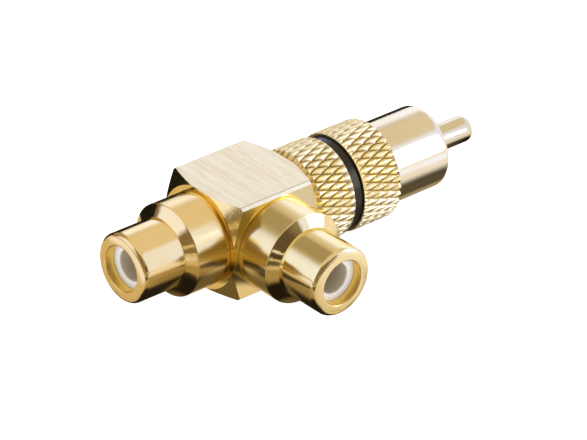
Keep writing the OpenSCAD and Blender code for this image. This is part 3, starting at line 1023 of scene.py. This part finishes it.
def knurl_lattice():
    """The whole knurl as a tube of diamonds, one cell longer than the grip at each end."""
    bm = bmesh.new()
    crease = bm.edges.layers.float.new("crease_edge")
    cells = KNURL_ROWS // 2
    levels = [NECK_L + START_BEVEL + CELL_L * i for i in range(-1, cells + 2)]
    chain = [bm.verts.new((VALLEY_R * MM, 0, z * MM)) for z in levels]
    for first, second in zip(chain, chain[1:]):
        bm.edges.new((first, second))
    full_spin(bm, KNURL_COUNT)
    bmesh.ops.recalc_face_normals(bm, faces=bm.faces)
    squares = bm.edges[:]
    bmesh.ops.poke(bm, faces=bm.faces)
    inner = [e for e in squares if e.is_valid and len(e.link_faces) == 2]
    bmesh.ops.dissolve_edges(bm, edges=inner)
    set_radius(bm.verts, VALLEY_R * MM)
    diamonds = [face for face in bm.faces if len(face.verts) == 4]
    valleys = bm.edges[:]
    half_w, half_l = math.pi * GRIP_R / KNURL_COUNT, CELL_L / 2
    reach = half_w * half_l / math.hypot(half_w, half_l)
    bmesh.ops.inset_individual(
        bm, faces=diamonds, thickness=reach * (1 - KNURL_FLAT) * MM, depth=KNURL_DEPTH * MM
    )
    crests = {v for face in diamonds for v in face.verts}
    set_radius(crests, GRIP_R * MM)
    for edge in bm.edges:
        edge[crease] = CREST_CREASE
    for edge in valleys:
        edge[crease] = VALLEY_CREASE
    return bm


lattice = as_object("knurl", knurl_lattice())
rounded = lattice.modifiers.new("rounded crests", "SUBSURF")
rounded.levels = rounded.render_levels = ROUNDINGS
settle(lattice)
print("knurl:", len(lattice.data.polygons), "faces")

# %% [markdown]
# The ring's groove parts the grip into two sleeves. Each is cut out of the lattice between
# two planes. Beside the ring the grooves run out, so the diamonds end in a smooth land. An
# open end is folded over the bevel and down to the sleeve's inside, and a bridge between
# the two ends closes the sleeve there.

# %% Two knurled sleeves
GROOVE_START, GROOVE_W = 5.3, 1.4
RUN_OUT, LAND_R, EDGE_BREAK = 0.4, 5.9, 0.05
SLEEVE_IN = 5.05
CUT_TOLERANCE = 0.0001 * MM
GRIP_END = NECK_L + GRIP_L
GROOVE_Z = NECK_L + GROOVE_START
GROOVE_TOP = GROOVE_Z + GROOVE_W


def close_end(bm, edges, end_z, rim_r):
    """Folds the open edge of a sleeve over its end, down to the sleeve's inside."""
    for radius in (rim_r, SLEEVE_IN):
        made = bmesh.ops.extrude_edge_only(bm, edges=edges)["geom"]
        edges = [e for e in made if isinstance(e, bmesh.types.BMEdge) and e.is_boundary]
        loop = {v for e in edges for v in e.verts}
        for v in loop:
            v.co.z = end_z * MM
        set_radius(loop, radius * MM)
    return edges


def knurled_sleeve(start, end, start_bevel, end_bevel, start_rim, end_rim, groove_at):
    """One stretch of the knurl between two planes, with a bevel at each end."""
    bm = bmesh.new()
    bm.from_mesh(lattice.data)
    cuts = []
    for z, sign, bevel in ((start, -1, start_bevel), (end, 1, end_bevel)):
        at_cut = (z - sign * bevel) * MM
        bmesh.ops.bisect_plane(
            bm, geom=bm.verts[:] + bm.edges[:] + bm.faces[:], dist=CUT_TOLERANCE,
            plane_co=(0, 0, at_cut), plane_no=(0, 0, sign), clear_outer=True,
        )
        cuts.append(at_cut)
    for v in bm.verts:
        deep = 1 - abs(v.co.z / MM - groove_at) / RUN_OUT
        if deep > 0:
            radius = v.co.xy.length
            set_radius([v], radius + (LAND_R * MM - radius) * deep)
    rings = []
    for at_cut, z, rim_r in zip(cuts, (start, end), (start_rim, end_rim)):
        edge = [
            e for e in bm.edges
            if e.is_boundary and all(abs(v.co.z - at_cut) < FACE_MERGE for v in e.verts)
        ]
        rings += close_end(bm, edge, z, rim_r)
    bmesh.ops.bridge_loops(bm, edges=rings)
    bmesh.ops.remove_doubles(bm, verts=bm.verts, dist=MERGE)
    bmesh.ops.recalc_face_normals(bm, faces=bm.faces)
    print(f"sleeve from {start:.2f} to {end:.2f} mm: {len(bm.faces)} faces")
    return bm


sleeves = [
    knurled_sleeve(
        NECK_L, GROOVE_Z, START_BEVEL, EDGE_BREAK,
        GRIP_R - START_BEVEL, LAND_R - EDGE_BREAK, GROOVE_Z,
    ),
    knurled_sleeve(
        GROOVE_TOP, GRIP_END, EDGE_BREAK, END_BEVEL,
        LAND_R - EDGE_BREAK, VALLEY_R, GROOVE_TOP,
    ),
]
bpy.data.objects.remove(lattice)

# %% [markdown]
# ## The plug's shell
#
# Under the knurl the plug is one turned piece: spigot, neck, the floor of the ring's
# groove, and the plain barrel with its bore. Its shoulders end a little inside the sleeves,
# so the two never share a face.

# %% Plug shell
_, plug_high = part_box("plug_shell")
PLUG_L = (plug_high.x - block_high.x) / MM
NECK_R, NECK_FOOT, GROOVE_R, INSIDE = 5.0, 0.03, 5.2, 0.06
BARREL_R, BARREL_ROUND, BARREL_DEPTH = 4.95, 0.55, 7.9
BARREL_BORE_R, BORE_ROUND = 4.2, 0.12
HEAD_T = 3.0
HEAD_FRONT = PLUG_L - BARREL_DEPTH
HEAD_BACK = HEAD_FRONT - HEAD_T
barrel_outline = [
    (POCKET_R, -SPIGOT_L, 0),
    (SPIGOT_R, -SPIGOT_L, BROKEN),
    (SPIGOT_R, 0, 0),
    (NECK_R, 0, NECK_FOOT),
    (NECK_R, NECK_L + INSIDE, 0),
    (GROOVE_R, NECK_L + INSIDE, 0),
    (GROOVE_R, GRIP_END - INSIDE, 0),
    (BARREL_R, GRIP_END - INSIDE, 0),
    (BARREL_R, PLUG_L, BARREL_ROUND),
    (BARREL_BORE_R, PLUG_L, BORE_ROUND),
    (BARREL_BORE_R, HEAD_BACK, 0),
    (POCKET_R, HEAD_BACK, 0),
]
bm = turn(barrel_outline)
for sleeve in sleeves:
    for face in sleeve.faces:
        face.material_index = 1
    mesh = bpy.data.meshes.new("sleeve")
    sleeve.to_mesh(mesh)
    sleeve.free()
    bm.from_mesh(mesh)
finish_piece(
    "plug_turned_and_knurled", bm, ON_PLUG, [gold_plug, rolled_gold],
    ["plug_shell"],
)

# %% [markdown]
# ## Ring, bush and pin
#
# A black ring sits in the grip's groove. It is the mark by which such adapters are told
# apart, one colour for each channel. A white bush fills the bottom of the barrel.

# %% Ring and plug bush
RING_IN, RING_R, RING_GAP, RING_ROUND = 5.22, 5.6, 0.05, 0.1
ring_outline = [
    (RING_IN, GROOVE_Z + RING_GAP, 0),
    (RING_R, GROOVE_Z + RING_GAP, RING_ROUND),
    (RING_R, GROOVE_TOP - RING_GAP, RING_ROUND),
    (RING_IN, GROOVE_TOP - RING_GAP, 0),
]
finish_piece(
    "ring_black", turn(ring_outline), ON_PLUG, [black_plastic],
    ["colour_ring"],
)

STEM_R, SHANK_L = 1.2, 7.0
SHANK_BACK = HEAD_BACK - SHANK_L
plug_bush_outline = [
    (STEM_R + PRESS_GAP, SHANK_BACK, 0),
    (BUSH_R, SHANK_BACK, 0),
    (BUSH_R, HEAD_BACK, 0),
    (BARREL_BORE_R - PRESS_GAP, HEAD_BACK, 0),
    (BARREL_BORE_R - PRESS_GAP, HEAD_FRONT, 0),
    (STEM_R + PRESS_GAP, HEAD_FRONT, BROKEN),
]
finish_piece(
    "plug_bush", turn(plug_bush_outline), ON_PLUG, [white_plastic],
    ["plug_insulator"],
)

# %% [markdown]
# The pin is turned from one rod. Only its thick front with the rounded tip shows. Behind it
# a thin stem stands in the bush, and a thinner core crosses the block to both contacts. Its
# outline starts and ends on the axis, so it is left open.

# %% Pin
pin_low, pin_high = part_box("plug_pin")
CORE_END, PIN_TIP = [(x - block_high.x) / MM for x in (pin_low.x, pin_high.x)]
PIN_R, PIN_ROUND, CORE_R = 1.6, 0.7, 1.0
pin_outline = [
    (0, CORE_END, 0),
    (CORE_R, CORE_END, 0),
    (CORE_R, SHANK_BACK, 0),
    (STEM_R, SHANK_BACK, 0),
    (STEM_R, HEAD_FRONT, 0),
    (PIN_R, HEAD_FRONT, BROKEN),
    (PIN_R, PIN_TIP, PIN_ROUND),
    (0, PIN_TIP, 0),
]
finish_piece(
    "pin_turned", turn(pin_outline, closed=False), ON_PLUG, [gold_pin],
    ["plug_pin"],
)

# %% [markdown]
# ## Contacts
#
# The sprung contacts stand behind the insulators, deep in the jacks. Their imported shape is
# right, so they keep it and only get a finish.

# %% Contacts
CONTACT_TINT, CONTACT_DEEP = rgb(0.90, 0.69, 0.27), rgb(0.84, 0.61, 0.21)
CONTACT_GLOSS = 0.25
for node, place in (("inline_contact", ON_INLINE), ("side_contact", ON_SIDE)):
    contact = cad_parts[node]
    spring_gold = turned_gold(
        "spring_gold_" + node, place, CONTACT_TINT, CONTACT_DEEP, CONTACT_GLOSS
    )
    contact.data.materials.clear()
    contact.data.materials.append(spring_gold)
    print(node, "has its finish")
